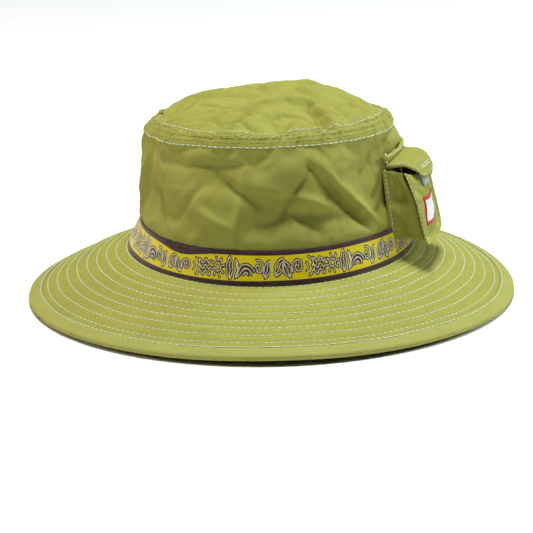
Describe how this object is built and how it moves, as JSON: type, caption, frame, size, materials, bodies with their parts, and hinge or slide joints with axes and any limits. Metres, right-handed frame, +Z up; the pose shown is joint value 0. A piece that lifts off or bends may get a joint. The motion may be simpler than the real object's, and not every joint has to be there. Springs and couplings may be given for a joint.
{
  "type": "sun hat",
  "caption": "Soft cloth bucket hat with an oval crown, a wide row-stitched sloping brim, a patterned hat band and a flapped bellows pocket at the side.",
  "frame": {"origin": "in the plane that the brim's edge rests on, under the middle of the crown", "axes": "+Z up, the wearer looks along -Y, +X is the wearer's left, where the pocket is"},
  "size_m": [0.2992, 0.3233, 0.1272],
  "materials": {
    "shell_cloth": "light woven cotton, moss green",
    "inner_cloth": "light woven cotton, moss green, underside",
    "binding": "bias-cut shell cloth",
    "interlining": "stiff non-woven",
    "seam_tape": "thin woven tape",
    "sweatband": "soft brushed band",
    "ribbon": "patterned woven ribbon, yellow with dark edges",
    "light_thread": "polyester sewing thread",
    "green_thread": "polyester sewing thread",
    "hook_tape": "moulded hooks on a woven ground",
    "loop_tape": "brushed loops on a woven ground",
    "label": "woven, blank"
  },
  "bodies": {
    "hat": {"crown_side_front": "shell_cloth", "crown_side_back": "shell_cloth", "crown_top": "shell_cloth", "crown_seam_tape": "seam_tape", "side_seam_tape_left": "seam_tape", "side_seam_tape_right": "seam_tape", "crown_topstitching": "light_thread", "crown_seam_stitching": "green_thread", "sweatband": "sweatband", "sweatband_stitching": "green_thread", "care_label": "label", "brim_upper": "shell_cloth", "brim_interlining": "interlining", "brim_under": "inner_cloth", "brim_binding": "binding", "brim_topstitching": "light_thread", "brim_understitching": "light_thread", "ribbon": "ribbon", "ribbon_stitching": "green_thread", "pocket_gusset": "shell_cloth", "pocket_gusset_stitching": "light_thread", "flap_seam_fold": "shell_cloth", "flap_hinge_stitching": "light_thread"},
    "pocket_front": {"pocket_front": "shell_cloth", "pocket_loop_tape": "loop_tape", "pocket_label": "label", "pocket_front_stitching": "light_thread"},
    "pocket_flap": {"flap_outer": "shell_cloth", "flap_facing": "inner_cloth", "flap_hook_tape": "hook_tape", "flap_topstitching": "light_thread"}
  },
  "joints": [
    {"name": "flap_hinge", "type": "hinge", "parent": "hat", "child": "pocket_flap", "pos_m": [0.08011, -0.02603, 0.08978], "axis": [-0.309, -0.9511, 0], "range_deg": [-2.5, 100]},
    {"name": "pocket_bellows", "type": "slide", "parent": "hat", "child": "pocket_front", "axis": [-0.9511, 0.309, 0], "range_m": [0, 0.009], "deforming": ["pocket_gusset"]}
  ]
}
